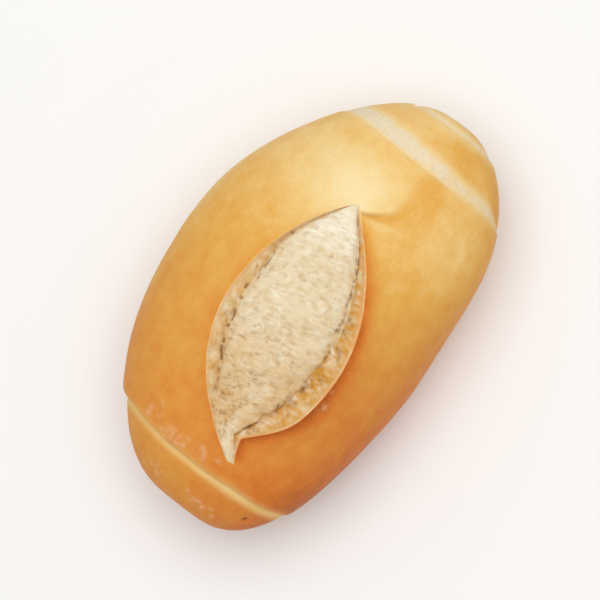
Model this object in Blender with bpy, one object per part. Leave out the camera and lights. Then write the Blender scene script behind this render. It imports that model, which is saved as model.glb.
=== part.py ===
"""French bread roll: one small baked loaf, rolled up from a sheet of dough and slashed along its top.

The loaf lies on its flat underside. +X points along it to the end that shows two laps of the rolled
sheet, +Y to its left, +Z up. The origin is the middle of the footprint, on the surface it rests on.
Lengths are metres, angles are radians unless a name says degrees.
"""

import math

import bmesh
import bpy
import numpy as np

# Driving dimensions
LENGTH = 0.130
WIDTH = 0.079
HEIGHT = 0.059

# The plain loaf: sections across X are rounded, widest at belly height, and the ends are blunt
BELLY_HEIGHT = 0.42 * HEIGHT
KEEL_DEPTH = 0.57 * HEIGHT  # how far the section would reach below the belly if the tray didn't cut it
END_LIFT = 0.003  # the tips sit this much higher than the belly
FRONT_BEND = (0.0110, 0.41)  # how far the +X end bends towards -Y, and how much that eases off at its tip
BACK_BEND = (0.0078, 0.10)  # the same of the -X end
TOP_ROUND = 2.1  # superellipse exponents of the upper and the lower half of a section
BASE_ROUND = 2.35
FRONT_END = (2.15, 1.88)  # exponents of the outline towards +X, the slimmer end
BACK_END = (1.7, 2.8)  # and towards -X, the blunter one
CROWN_LINE = (2.0, 2.15)  # the ridge seen from the side
KEEL_LINE = (2.8, 2.4)
TUCKED_IN = 0.0017  # the laps and the dimples take this much from either tip of the plain loaf

# The slash: a leaf-shaped opening, torn wide by the oven, slanting across the crown
SLASH_CENTRE = (-0.0074, -0.0104)
SLASH_LENGTH = 0.0752
SLASH_TURN = math.radians(12.6)
LEFT_SPREAD = 0.0220  # widest reach of the opening to its left (+Y) and right (-Y) side
RIGHT_SPREAD = 0.0136
LEFT_LEAF = (0.74, 0.84)  # how sharply each lip runs out at the -X tip and at the +X tip
RIGHT_LEAF = (1.16, 1.08)
TAIL_PULL = 0.44  # share of the width that the right lip is drawn in by at the torn tail
TAIL_START, TAIL_RUN = -0.46, 0.37  # along the slash, which runs from -1 to 1
TAIL_CURVE = 3.6  # the pull starts slowly and ends in a corner
TAIL_HOOK = 0.0023  # the tail's tip turns this far to the left
MERGE_WIDTH = 0.0009  # half width at which the two lips run together
SPREAD_AGAIN = 0.3  # past the slash its columns spread to this share of the loaf's half width
SPREAD_RUN = 0.012

# The lips of the slash, and the crumb between them
EAR_RISE = 0.0016  # the right lip lifts off as an ear
EAR_NOSE = 0.0010  # and leans over the crumb
EAR_RUN = 0.0075
LEFT_RISE = 0.0007
LEFT_RUN = 0.0045
LIP_FADE = 0.45  # the lips' rise fades over this share of the half slash towards either tip
CREVICE_DEPTH = 0.0021
CRUMB_SINK = 0.0003
LEFT_CUT = (0.0028, 0.0036)  # width of the sloping cut edge on the left, at the +X tip and the -X tip
RIGHT_CUT = (0.0012, 0.0060)  # and on the right

# Laps of the rolled sheet: (station, sway of the seam with cos and sin of the angle round, step down
# to the next layer, share of the step that is missing on the right side, extra groove at its foot,
# reach of the groove, softness of the upper edge)
LAPS = (
    (-0.0494, -0.0026, 0.0009, 0.0014, 0.55, 0.00020, 0.0015, 0.0012),
    (0.0485, -0.0004, 0.0011, 0.00035, 0.0, 0.00015, 0.0024, 0.0012),
    (0.0621, 0.0001, 0.0, 0.00035, 0.0, 0.00035, 0.0012, 0.0009),
)
LAP_BEND = 0.008  # how far from a seam the neighbouring rings still follow its sway
LAP_GAP = 0.00025
TIP_CALM = 0.4  # where the loaf is narrower than this share of its width, the sway fades out

# Fold that carries on from the +X tip of the slash, where the blade marked the dough and it didn't open:
# it turns towards -Y by FOLD_SIDE, then runs out along the loaf
FOLD_START = (0.0274, -0.0034)
FOLD_SIDE = 0.0086
FOLD_TURN, FOLD_CURVE = 0.0035, 1.4
FOLD_LENGTH = 0.014
FOLD_DROP = 0.0008
FOLD_REACH = 0.0065  # how far below the fold the skin takes to come back up

# Dimple where the rolled sheet is tucked in, at the middle of either end
DIMPLE_DEPTH = 0.0014
DIMPLE_REACH = 0.0055

# Slow swells of the crust: (height, waves along the loaf, waves round it, start of the wave)
SWELLS = ((0.0003, 0.9, 2, 0.6), (0.0003, 1.7, 3, 2.1), (0.0002, 2.9, 1, 4.0))
# Soft ridges of the torn crumb, running across the slash: (height, waves along the slash, lean, start)
CRUMB_RIDGES = ((0.00035, 7.0, 0.9, 0.4), (0.00025, 11.0, -1.3, 2.2))

# How finely the surface is divided
CRUMB_COLUMNS = 16
CUT_COLUMNS = 3
FLANK_COLUMNS = 22
FLANK_GRADING = 1.25  # columns lie closer near the slash than underneath
SLASH_ROWS = 40
NORMAL_STEP = 1e-4
PRESS = 0.0005  # how softly the flat underside turns into the sides
TOUCHING = 4e-5  # what comes this close to the tray lies on it

HALF_LENGTH = LENGTH / 2 + TUCKED_IN
HALF_WIDTH = WIDTH / 2


def signed_power(value, exponent):
    return np.sign(value) * np.abs(value) ** exponent


def smooth(value):
    """0 below 0, 1 above 1, an S-curve between."""
    t = np.clip(value, 0, 1)
    return t * t * (3 - 2 * t)


def rounding(u, exponents):
    """Share of the full size left at u, from 0 in the middle of the loaf to 1 at its tip."""
    outer, inner = exponents
    return (1 - np.minimum(np.abs(u), 0.99995) ** outer) ** (1 / inner)


def bend(x):
    """How far the middle line of the loaf lies towards -Y at station x."""
    u = x / HALF_LENGTH
    reach, ease = (np.where(x > 0, *pair) for pair in zip(FRONT_BEND, BACK_BEND))
    return reach * u**2 * (1 - ease * u**2)


def half_width(x):
    u = x / HALF_LENGTH
    return HALF_WIDTH * np.where(u > 0, rounding(u, FRONT_END), rounding(u, BACK_END))


def plain_loaf(x, angle):
    """The loaf without laps or slash: a point at station x, at an angle from the crown towards +Y."""
    u = x / HALF_LENGTH
    wide = half_width(x)
    above = (HEIGHT - BELLY_HEIGHT) * rounding(u, CROWN_LINE)
    below = KEEL_DEPTH * rounding(u, KEEL_LINE)
    upper = np.cos(angle) > 0
    exponent = np.where(upper, 2 / TOP_ROUND, 2 / BASE_ROUND)
    y = -bend(x) + wide * signed_power(np.sin(angle), exponent)
    middle = BELLY_HEIGHT + END_LIFT * u**2
    z = middle + np.where(upper, above, below) * signed_power(np.cos(angle), exponent)
    return np.stack([x + 0 * angle, y, z], axis=-1)


def outward(x, angle):
    """Unit normal of the plain loaf."""
    along = plain_loaf(x + NORMAL_STEP, angle) - plain_loaf(x - NORMAL_STEP, angle)
    turn = NORMAL_STEP / HALF_WIDTH
    around = plain_loaf(x, angle + turn) - plain_loaf(x, angle - turn)
    normal = np.cross(along, around)
    return normal / np.linalg.norm(normal, axis=-1, keepdims=True)


def angle_at(x, y):
    """The angle on the upper half of the plain loaf whose point has this y."""
    share = np.clip((y + bend(x)) / half_width(x), -0.98, 0.98)
    return np.arcsin(signed_power(share, TOP_ROUND / 2))


def leaf(t, back, front):
    """Outline of a leaf along t from -1 to 1, with a peak of 1; a larger exponent makes a sharper tip."""
    peak = (back - front) / (back + front)
    top = (1 - peak) ** front * (1 + peak) ** back
    return (1 - t) ** front * (1 + t) ** back / top


def slash_edges(t):
    """Distances of the left and the right lip from the slash's own line, at t from -1 to 1 along it."""
    left = LEFT_SPREAD * leaf(t, *LEFT_LEAF)
    right = -RIGHT_SPREAD * leaf(t, *RIGHT_LEAF)
    pull = TAIL_PULL * np.clip((TAIL_START - t) / TAIL_RUN, 0, 1) ** TAIL_CURVE
    hook = TAIL_HOOK * ((1 - t) / 2) ** 8
    return left + hook, right + pull * (left - right) + hook


def ring_stations():
    """Stations of the rings from the -X tip to the +X tip, and the place along the slash of each, or None."""
    seams = [lap[0] for lap in LAPS]
    tip_back = SLASH_CENTRE[0] - SLASH_LENGTH / 2 * math.cos(SLASH_TURN)
    tip_front = SLASH_CENTRE[0] + SLASH_LENGTH / 2 * math.cos(SLASH_TURN)
    gap = LAP_GAP / 2
    back_end = [-HALF_LENGTH * math.sin(math.radians(a)) for a in (88.7, 86, 80, 72, 65, 58)]
    outside = back_end + [seams[0] - 0.0045, seams[0] - 0.002, seams[0] - gap]
    outside += [seams[0] + gap, seams[0] + 0.0009, seams[0] + 0.0023, seams[0] + 0.0043]
    rows = [(x, None) for x in outside]
    for t in np.sin(np.linspace(-1, 1, SLASH_ROWS) * math.pi / 2):
        rows.append((tip_back + (tip_front - tip_back) * (t + 1) / 2, t))
    rows += [(x, None) for x in np.linspace(tip_front, seams[1] - 0.0024, 6)[1:]]
    for x, before, after in ((seams[1], (0.001,), (0.002, 0.0045, 0.0075)), (seams[2], (0.0007,), (0.0008,))):
        rows += [(x - d, None) for d in before] + [(x - gap, None), (x + gap, None)]
        rows += [(x + d, None) for d in after]
    rows += [(HALF_LENGTH * math.sin(math.radians(a)), None) for a in (79, 83, 86.5, 88.7)]
    return rows


def lip_points(x, t):
    """Where a ring crosses the lips, (x, y) on the left and on the right, and how far apart they are."""
    if t is None:
        line = np.interp(x, *SLASH_LINE)
        past = max(SLASH_LINE[0][1] - x, x - SLASH_LINE[0][2])
        spread = smooth(past / SPREAD_RUN)
        half = MERGE_WIDTH * (1 - spread) + SPREAD_AGAIN * half_width(x) * spread
        return (x, line + half), (x, line - half), 0.0
    left, right = (float(v) for v in slash_edges(t))
    middle, true_half = (left + right) / 2, (left - right) / 2
    half = math.hypot(true_half, MERGE_WIDTH)
    along = t * SLASH_LENGTH / 2
    points = []
    for across in (middle + half, middle - half):
        px = SLASH_CENTRE[0] + along * math.cos(SLASH_TURN) - across * math.sin(SLASH_TURN)
        py = SLASH_CENTRE[1] + along * math.sin(SLASH_TURN) + across * math.cos(SLASH_TURN)
        points.append((px, py))
    return points[0], points[1], true_half


def slash_line():
    """The slash's own line, carried on to both tips of the loaf, as matching lists of x and y."""
    reach = SLASH_LENGTH / 2
    ends = []
    for t in (-1, 1):
        across = sum(float(v) for v in slash_edges(np.float64(t * 0.999))) / 2
        ends.append(
            (
                SLASH_CENTRE[0] + t * reach * math.cos(SLASH_TURN) - across * math.sin(SLASH_TURN),
                SLASH_CENTRE[1] + t * reach * math.sin(SLASH_TURN) + across * math.cos(SLASH_TURN),
            )
        )
    (x0, y0), (x1, y1) = ends
    return [-HALF_LENGTH, x0, x1, HALF_LENGTH], [-bend(-HALF_LENGTH), y0, y1, -bend(HALF_LENGTH)]


SLASH_LINE = slash_line()


def cut_share(cut, place, width):
    """Share of the opening taken by a cut edge, at a place from 0 at the -X tip to 1 at the +X tip."""
    front, back = cut
    return min(back + (front - back) * place, 0.21 * width) / width


def surface():
    """Points of the roll as rings by columns. A column runs along the loaf and follows the slash's edges."""
    crumb = np.linspace(-1, 1, CRUMB_COLUMNS + 1)
    cut = np.linspace(0, 1, CUT_COLUMNS + 1)
    flank = np.linspace(0, 1, FLANK_COLUMNS + 1)[1:] ** FLANK_GRADING
    rings = []
    for station, t in ring_stations():
        (lx, ly), (rx, ry), half = lip_points(station, t)
        open_share = half**2 / (half**2 + (2 * MERGE_WIDTH) ** 2)
        place = 0.0 if t is None else (t + 1) / 2
        width = math.hypot(lx - rx, ly - ry)
        left_cut = cut_share(LEFT_CUT, place, width)
        right_cut = cut_share(RIGHT_CUT, place, width)
        # across the opening, 0 at the right lip and 1 at the left one
        inner = right_cut + (crumb + 1) / 2 * (1 - left_cut - right_cut)
        share = np.concatenate([right_cut * cut[:-1], inner, 1 - left_cut * cut[:-1][::-1]])
        lift = open_share * smooth((1 - abs(2 * place - 1)) / LIP_FADE)
        ear, lip, crevice = EAR_RISE * lift, LEFT_RISE * lift, CREVICE_DEPTH * open_share
        nose = EAR_NOSE * lift * np.sin(math.pi * cut[:-1]) * (1 - cut[:-1]) / width
        share[: len(nose)] += nose
        x_in = rx + (lx - rx) * share
        angle_in = angle_at(x_in, ry + (ly - ry) * share)
        right_wall = ear - (ear + crevice) * smooth(cut[:-1])
        left_wall = lip - (lip + crevice) * smooth(cut[:-1][::-1])
        dome = -CRUMB_SINK - (CREVICE_DEPTH - CRUMB_SINK) * np.abs(crumb) ** 5
        for height, waves, lean, start in CRUMB_RIDGES:
            ridge = np.sin(2 * math.pi * waves * place + lean * crumb + start)
            dome = dome + height * ridge * (1 - crumb**2)
        relief_in = np.concatenate([right_wall, open_share * dome, left_wall])
        # the flanks, from the left lip down to the middle of the underside, and back up on the right
        left_angle = angle_in[-1] + (math.pi - angle_in[-1]) * flank
        right_angle = angle_in[0] - (math.pi + angle_in[0]) * flank[:-1][::-1]
        settle = 1 - smooth(flank / 0.5)
        x_left = station + (lx - station) * settle
        x_right = station + (rx - station) * settle[:-1][::-1]
        left_run = HALF_WIDTH * (left_angle - angle_in[-1]) / LEFT_RUN
        right_run = HALF_WIDTH * (angle_in[0] - right_angle) / EAR_RUN
        relief_left = lip * np.exp(-(left_run**2))
        relief_right = ear * np.exp(-(right_run**2))
        x = np.concatenate([x_right, x_in, x_left])
        angle = np.concatenate([right_angle, angle_in, left_angle])
        relief = np.concatenate([relief_right, relief_in, relief_left])
        rings.append((station, x, angle, relief))
    station, x, angle, relief = (np.array(part) for part in zip(*rings))
    station = station[:, None]
    steady = smooth(half_width(station) / (TIP_CALM * HALF_WIDTH))
    for seam, with_cos, with_sin, *_ in LAPS:
        sway = with_cos * np.cos(angle) + with_sin * np.sin(angle)
        x = x + steady * sway * np.exp(-(((station - seam) / LAP_BEND) ** 2))
    relief = relief + lap_relief(station, angle)
    size = half_width(x)
    for height, waves, turns, start in SWELLS:
        wave = np.sin(2 * math.pi * waves * x / LENGTH + turns * angle + start)
        relief = relief + height * wave * (size / HALF_WIDTH) ** 2
    relief = relief - DIMPLE_DEPTH * np.exp(-((size / DIMPLE_REACH) ** 2))
    points = plain_loaf(x, angle)
    relief = relief + fold_relief(points)
    points = points + outward(x, angle) * relief[..., None]
    return points


def lap_relief(station, angle):
    """Steps of the rolled sheet: each seam drops to the next layer, in a groove that fades outwards."""
    relief = 0
    to_right = np.maximum(-np.sin(angle), 0) ** 2 * smooth(half_width(station) / (2 * TIP_CALM * HALF_WIDTH))
    for seam, _, _, full_step, missing, groove, reach, soft in LAPS:
        step = full_step * (1 - missing * to_right)
        beyond = (station - seam) * math.copysign(1, seam)
        past = np.maximum(beyond, 0)
        before = np.minimum(beyond, 0)
        lower = -step - groove * np.exp(-((past / reach) ** 2))
        upper = -0.35 * (step + groove) * np.exp(-((before / soft) ** 2))
        relief = relief + np.where(beyond > 0, lower, upper)
    return relief


def fold_relief(points):
    """A soft step down across a line that leaves the slash's tip and settles along the loaf."""
    past = np.maximum(points[..., 0] - FOLD_START[0], 0)
    turned = (past / FOLD_TURN) ** FOLD_CURVE
    line = FOLD_START[1] - FOLD_SIDE * (1 - np.exp(-turned))
    slope = FOLD_SIDE * FOLD_CURVE * turned * np.exp(-turned) / np.maximum(past, NORMAL_STEP)
    below = (line - points[..., 1]) / np.hypot(1, slope)
    side = smooth(0.5 + below / 0.0012)
    fade = np.exp(-((np.maximum(below, 0) / FOLD_REACH) ** 2))
    ends = smooth(past / 0.0025) * (1 - smooth((past / FOLD_LENGTH - 0.35) / 0.65))
    upper = points[..., 2] > BELLY_HEIGHT
    return -FOLD_DROP * side * fade * ends * upper


def fitted(points, tips):
    """Centres the footprint on the origin and brings the loaf to its length, width and height."""
    everything = np.concatenate([points.reshape(-1, 3), tips])
    low, high = everything.min(axis=0), everything.max(axis=0)
    middle = np.array([(low[0] + high[0]) / 2, (low[1] + high[1]) / 2, 0.0])
    scale = np.array([LENGTH / (high[0] - low[0]), WIDTH / (high[1] - low[1]), HEIGHT / high[2]])
    return (points - middle) * scale, (tips - middle) * scale


def flattened(points):
    """What would reach below the tray is pressed flat against it."""
    pressed = points.copy()
    z = points[..., 2]
    height = np.where(z > PRESS, z, np.maximum(z + PRESS, 0) ** 2 / (4 * PRESS))
    pressed[..., 2] = np.where(height < TOUCHING, 0, height)
    return pressed


def crust_material():
    material = bpy.data.materials.new("baked_crust")
    material.use_nodes = True
    shader = material.node_tree.nodes["Principled BSDF"]
    shader.inputs["Base Color"].default_value = (0.72, 0.37, 0.10, 1.0)
    shader.inputs["Roughness"].default_value = 0.55
    shader.inputs["Metallic"].default_value = 0.0
    return material


def bread_roll():
    """The closed surface: rings joined column by column, with a point at either tip."""
    rings = surface()
    tips = np.stack([rings[0].mean(axis=0), rings[-1].mean(axis=0)])
    rings, tips = fitted(flattened(rings), tips)
    mesh = bpy.data.meshes.new("bread_roll")
    bm = bmesh.new()
    made = [[bm.verts.new(point) for point in ring] for ring in rings]
    back_tip, front_tip = (bm.verts.new(point) for point in tips)
    columns = len(made[0])
    for j in range(columns):
        k = (j + 1) % columns
        bm.faces.new((back_tip, made[0][j], made[0][k]))
        bm.faces.new((front_tip, made[-1][k], made[-1][j]))
        for near, far in zip(made, made[1:]):
            bm.faces.new((near[j], far[j], far[k], near[k]))
    bmesh.ops.recalc_face_normals(bm, faces=bm.faces)
    bm.to_mesh(mesh)
    bm.free()
    mesh.materials.append(crust_material())
    mesh.shade_smooth()
    roll = bpy.data.objects.new("bread_roll", mesh)
    bpy.context.scene.collection.objects.link(roll)
    return roll


for old in list(bpy.data.objects):
    bpy.data.objects.remove(old)
bread_roll()
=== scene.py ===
# %% [markdown]
# # A french bread roll
# A french roll starts as a flat sheet of dough. The baker rolls it up, lets it rise with its seam
# underneath, draws a blade once along its top and bakes it with steam. The slash tears open in the oven
# and shows the crumb, the rolled layers slide apart at the ends, and the skin turns into a thin crust.
# This script loads the plain solid of the roll as a fixed frame. It then builds the same form again as
# one fine surface, which carries the torn crumb, the pores, the laps and the blisters, and bakes it with
# two materials. The plain solid stays behind it for collision.

# %% Load the frame
import functools
import itertools
import math

import bpy
import numpy as np
from mathutils import Matrix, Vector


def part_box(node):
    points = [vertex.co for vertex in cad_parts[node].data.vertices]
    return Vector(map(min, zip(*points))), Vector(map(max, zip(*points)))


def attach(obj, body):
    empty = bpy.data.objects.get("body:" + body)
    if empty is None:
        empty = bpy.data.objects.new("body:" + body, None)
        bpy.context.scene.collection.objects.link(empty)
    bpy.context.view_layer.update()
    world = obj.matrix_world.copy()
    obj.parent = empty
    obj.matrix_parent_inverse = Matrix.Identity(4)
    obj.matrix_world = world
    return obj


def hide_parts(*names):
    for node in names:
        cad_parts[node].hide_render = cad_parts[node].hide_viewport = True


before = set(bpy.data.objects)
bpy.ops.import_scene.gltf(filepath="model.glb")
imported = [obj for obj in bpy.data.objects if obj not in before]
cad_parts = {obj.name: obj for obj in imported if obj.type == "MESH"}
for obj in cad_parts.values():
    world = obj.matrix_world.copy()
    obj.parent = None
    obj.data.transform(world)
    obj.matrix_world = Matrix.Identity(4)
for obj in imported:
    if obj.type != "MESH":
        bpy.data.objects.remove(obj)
scene = bpy.context.scene
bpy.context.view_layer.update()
print("nodes of the frame:", list(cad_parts))

# %% [markdown]
# The roll's three outer sizes come from the frame, so the fine surface always fits the solid. Everything
# else about its shape is a length in millimetres, written where it is first needed.

# %% Outer sizes
MM = 0.001
NODE = "bread_roll"
LENGTH, WIDTH, HEIGHT = np.array(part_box(NODE)[1]) - np.array(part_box(NODE)[0])
TUCKED_IN = 1.7 * MM
HALF_LENGTH, HALF_WIDTH = LENGTH / 2 + TUCKED_IN, WIDTH / 2
print(f"roll: {LENGTH / MM:.1f} x {WIDTH / MM:.1f} x {HEIGHT / MM:.1f} mm")

# %% [markdown]
# Three small curves come back everywhere in this shape. An S-curve lets one form fade into the next, a
# bell makes a soft ridge or groove, and a power that keeps its sign turns a circle into the squarer or
# rounder section of a loaf.

# %% Three helper curves
def smooth(value):
    """S-curve: t*t*(3 - 2t) with t held between 0 and 1."""
    t = np.clip(value, 0, 1)
    return t * t * (3 - 2 * t)


def bell(value):
    """exp(-value^2): 1 in the middle and nearly 0 from 2 on."""
    return np.exp(-(value**2))


def signed_power(value, exponent):
    """The value's size raised to the exponent, with the value's sign."""
    return np.sign(value) * np.abs(value) ** exponent


# %% [markdown]
# Bread has no straight lines and no repeats, so most of its detail needs a random but smooth height.
# A lattice of random numbers does it: each point reads the numbers at the corners of its cell and blends
# them. Long thin cells give fibres, and round cells give lumps and pores. The table is seeded, so the
# same roll comes out of the oven every time.

# %% Smooth random heights
NOISE_TABLE = np.random.default_rng(7).uniform(-1, 1, 8192)
HASH_STEPS = (73856093, 19349663, 83492791)


def hills(coordinates, cells, seed):
    """Random height from -1 to 1: for each corner of the cell around a point, the table's number times the
    product of the S-curve weights along each axis, added up."""
    scaled = np.stack(np.broadcast_arrays(*coordinates), axis=-1) / np.array(cells)
    corner = np.floor(scaled).astype(np.int64)
    weight = smooth(scaled - corner)
    total = 0
    for offset in itertools.product((0, 1), repeat=len(cells)):
        mixed = sum((corner[..., i] + offset[i]) * HASH_STEPS[i] for i in range(len(cells)))
        height = NOISE_TABLE[((mixed ^ (mixed >> 13)) + 977 * seed) % NOISE_TABLE.size]
        shares = [weight[..., i] if offset[i] else 1 - weight[..., i] for i in range(len(cells))]
        total = total + height * np.prod(shares, axis=0)
    return total


# %% [markdown]
# ## The plain loaf
# Without its slash the loaf is a bent barrel. Its section is a superellipse, flatter below where the tray
# holds it, and its width, its ridge and its keel each shrink to the ends along a curve of their own. A
# subdivided cube could be pushed into this shape too, but two parameters, the station along the loaf and
# the angle round it, give every later detail an exact address.

# %% The plain loaf
BELLY_HEIGHT = 0.42 * HEIGHT
KEEL_DEPTH = 0.57 * HEIGHT
END_LIFT = 3 * MM
FRONT_BEND = (11.0 * MM, 0.41)
BACK_BEND = (7.8 * MM, 0.10)
TOP_ROUND, BASE_ROUND = 2.1, 2.35
FRONT_END, BACK_END = (2.15, 1.88), (1.7, 2.8)
CROWN_LINE, KEEL_LINE = (2.0, 2.15), (2.8, 2.4)


def rounding(u, exponents):
    """(1 - |u|^a)^(1/b): 1 in the middle of the loaf, 0 at its tip."""
    outer, inner = exponents
    return (1 - np.minimum(np.abs(u), 0.99998) ** outer) ** (1 / inner)


def half_width(x):
    """Half the loaf's width at station x."""
    u = x / HALF_LENGTH
    return HALF_WIDTH * np.where(u > 0, rounding(u, FRONT_END), rounding(u, BACK_END))


def bend(x):
    """Sideways offset of the middle line: reach * u^2 * (1 - ease * u^2), with a pair for each end."""
    u = x / HALF_LENGTH
    reach, ease = (np.where(x > 0, *pair) for pair in zip(FRONT_BEND, BACK_BEND))
    return reach * u**2 * (1 - ease * u**2)


def plain_loaf(x, angle):
    """Point at station x and angle from the crown: y and z are the half width and the half height there,
    times the sine and cosine of the angle raised to 2 / roundness."""
    u = x / HALF_LENGTH
    upper = np.cos(angle) > 0
    above = (HEIGHT - BELLY_HEIGHT) * rounding(u, CROWN_LINE)
    below = KEEL_DEPTH * rounding(u, KEEL_LINE)
    exponent = np.where(upper, 2 / TOP_ROUND, 2 / BASE_ROUND)
    y = half_width(x) * signed_power(np.sin(angle), exponent) - bend(x)
    z = np.where(upper, above, below) * signed_power(np.cos(angle), exponent)
    return np.stack(np.broadcast_arrays(x, y, z + BELLY_HEIGHT + END_LIFT * u**2), axis=-1)


def angle_at(x, y):
    """Angle whose point on the upper half has this y: the superellipse's sine, turned round."""
    share = np.clip((y + bend(x)) / half_width(x), -0.98, 0.98)
    return np.arcsin(signed_power(share, TOP_ROUND / 2))


# %% [markdown]
# Relief is laid on along the surface's own normal. The normal is the cross product of two short steps,
# one round the loaf and one along it.

# %% Outward direction
def outward(x, angle):
    """Unit cross product of a short step in angle and a short step in x."""
    reach = 0.1 * MM
    along = plain_loaf(x + reach, angle) - plain_loaf(x - reach, angle)
    around = plain_loaf(x, angle + reach / HALF_WIDTH) - plain_loaf(x, angle - reach / HALF_WIDTH)
    normal = np.cross(along, around)
    return normal / np.linalg.norm(normal, axis=-1, keepdims=True)


# %% [markdown]
# ## The slash
# The blade's cut opens into a leaf. Seen from above, each lip is a product of two powers, one that pulls
# it to a point at the front and one at the tail. At the tail the right lip is torn inwards and leaves a
# thin sliver of crumb, which hooks to the left.

# %% Outline of the slash
SLASH_X, SLASH_Y = -7.4 * MM, -10.4 * MM
SLASH_HALF = 37.6 * MM
SLASH_TURN = math.radians(12.6)
LEFT_SPREAD, RIGHT_SPREAD = 22.0 * MM, 13.6 * MM
LEFT_LEAF, RIGHT_LEAF = (0.74, 0.84), (1.16, 1.08)
TAIL_PULL, TAIL_START, TAIL_RUN, TAIL_CURVE = 0.44, -0.46, 0.37, 3.6
TAIL_HOOK = 2.3 * MM
MERGE_WIDTH = 0.9 * MM
SPREAD_AGAIN, SPREAD_RUN = 0.3, 12 * MM


def leaf(t, back, front):
    """(1 - t)^front * (1 + t)^back, divided by its largest value."""
    peak = (back - front) / (back + front)
    return (1 - t) ** front * (1 + t) ** back / ((1 - peak) ** front * (1 + peak) ** back)


def slash_edges(t):
    """Distances of the left and the right lip from the slash's own line, at t from -1 to 1 along it."""
    left = LEFT_SPREAD * leaf(t, *LEFT_LEAF)
    right = -RIGHT_SPREAD * leaf(t, *RIGHT_LEAF)
    pull = TAIL_PULL * np.clip((TAIL_START - t) / TAIL_RUN, 0, 1) ** TAIL_CURVE
    hook = TAIL_HOOK * ((1 - t) / 2) ** 8
    return left + hook, right + pull * (left - right) + hook


# %% [markdown]
# ## The grid
# Rows cross the loaf and columns run along it. The columns follow the lips of the slash, so that the edge
# of the crust is a clean line of edges and never a staircase. Between the lips lie the two cut edges and
# the crumb. Rows are packed where there is detail: the ridge's length is weighted, added up, and cut into
# equal shares. Each lap of the rolled sheet has its seam at a station, and sways to either side of it.

# %% Rows
ROWS = 300
LAPS = {
    "back": {"station": -49.4 * MM, "sway": (-2.6 * MM, 0.9 * MM), "step": 1.4 * MM, "groove": 0.20 * MM,
             "reach": 1.5 * MM, "lip": 1.5 * MM, "ease": 0.55},
    "front": {"station": 48.5 * MM, "sway": (-0.4 * MM, 1.1 * MM), "step": 0.35 * MM, "groove": 0.05 * MM,
              "reach": 2.4 * MM, "lip": 1.6 * MM, "ease": 0.0},
    "core": {"station": 62.1 * MM, "sway": (0.1 * MM, 0.0 * MM), "step": 0.35 * MM, "groove": 0.35 * MM,
             "reach": 1.2 * MM, "lip": 0.5 * MM, "ease": 0.0},
}
SLASH_WEIGHT, BACK_WEIGHT, LAP_WEIGHT, LAP_WINDOW = 1.5, 0.8, 4.0, 1.0 * MM


def row_stations():
    """Stations whose weighted distances along the ridge are all the same."""
    x = HALF_LENGTH * np.sin(np.linspace(-0.9965, 0.9965, 6001) * math.pi / 2)
    step = np.linalg.norm(np.diff(plain_loaf(x, 0.0), axis=0), axis=1)
    middle = (x[1:] + x[:-1]) / 2
    weight = 1 + SLASH_WEIGHT * (np.abs(middle - SLASH_X) < SLASH_HALF)
    weight = weight + BACK_WEIGHT * (middle < SLASH_X - SLASH_HALF)
    for lap in LAPS.values():
        weight = weight + LAP_WEIGHT * bell((middle - lap["station"]) / LAP_WINDOW)
    walked = np.concatenate([[0], np.cumsum(step * weight)])
    return np.interp(np.linspace(0, walked[-1], ROWS), walked, x)


station = row_stations()[:, None]
slash_reach = SLASH_HALF * math.cos(SLASH_TURN)
t_free = (station - SLASH_X) / slash_reach
t = np.clip(t_free, -1, 1)
gaps = np.diff(station[:, 0]) / MM
print(f"{ROWS} rows, {gaps.min():.2f} to {gaps.max():.2f} mm apart")

# %% Columns
CRUMB_COLUMNS, CUT_COLUMNS, FLANK_COLUMNS = 92, 12, 104
crumb_across = np.linspace(-1, 1, CRUMB_COLUMNS + 1)
cut_across = np.linspace(0, 1, CUT_COLUMNS + 1)[:-1]
even = np.linspace(0, 1, FLANK_COLUMNS + 1)[1:]
flank_across = 0.4 * even + 0.6 * even**3.5
FIRST_RIGHT = FLANK_COLUMNS - 1
COLUMNS = 2 * FLANK_COLUMNS - 1 + 2 * CUT_COLUMNS + CRUMB_COLUMNS + 1
print(f"{COLUMNS} columns, about {2 * ROWS * COLUMNS} triangles")

# %% [markdown]
# Past its tips the slash goes on as a narrow band of ordinary crust, which widens again towards the ends
# of the loaf. So all rows have the same columns, and none of them has to end anywhere.

# %% The band of columns between the lips
past_tip = np.maximum(np.abs(t_free) - 1, 0) * slash_reach
spread = smooth(past_tip / SPREAD_RUN)
left_edge, right_edge = slash_edges(t)
true_half = (left_edge - right_edge) / 2
off_line = (left_edge + right_edge) / 2
half_opening = np.hypot(true_half, MERGE_WIDTH) * (1 - spread) + SPREAD_AGAIN * half_width(station) * spread

line_x = [-HALF_LENGTH, SLASH_X - slash_reach, SLASH_X + slash_reach, HALF_LENGTH]
tip_y = [SLASH_Y + end * SLASH_HALF * math.sin(SLASH_TURN) for end in (-1, 1)]
middle_y = np.interp(station, line_x, [-bend(-HALF_LENGTH), *tip_y, -bend(HALF_LENGTH)])
turn = SLASH_TURN * (1 - spread)
middle_x = station - off_line * np.sin(turn) * (1 - spread)
middle_y = middle_y + off_line * np.cos(turn) * (1 - spread)
left_x, left_y = middle_x - half_opening * np.sin(turn), middle_y + half_opening * np.cos(turn)
right_x, right_y = middle_x + half_opening * np.sin(turn), middle_y - half_opening * np.cos(turn)
opening = true_half**2 / (true_half**2 + (2 * MERGE_WIDTH) ** 2)
print(f"widest opening {2 * true_half.max() / MM:.1f} mm")

# %% [markdown]
# On each side of the crumb lies the cut edge of the crust, a sloping band that the blade laid bare. It is
# broadest on the right in the tail half, and closes to almost nothing at the tips. On the right the crust
# has also lifted off as an ear, and its edge leans a little over the crumb.

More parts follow.
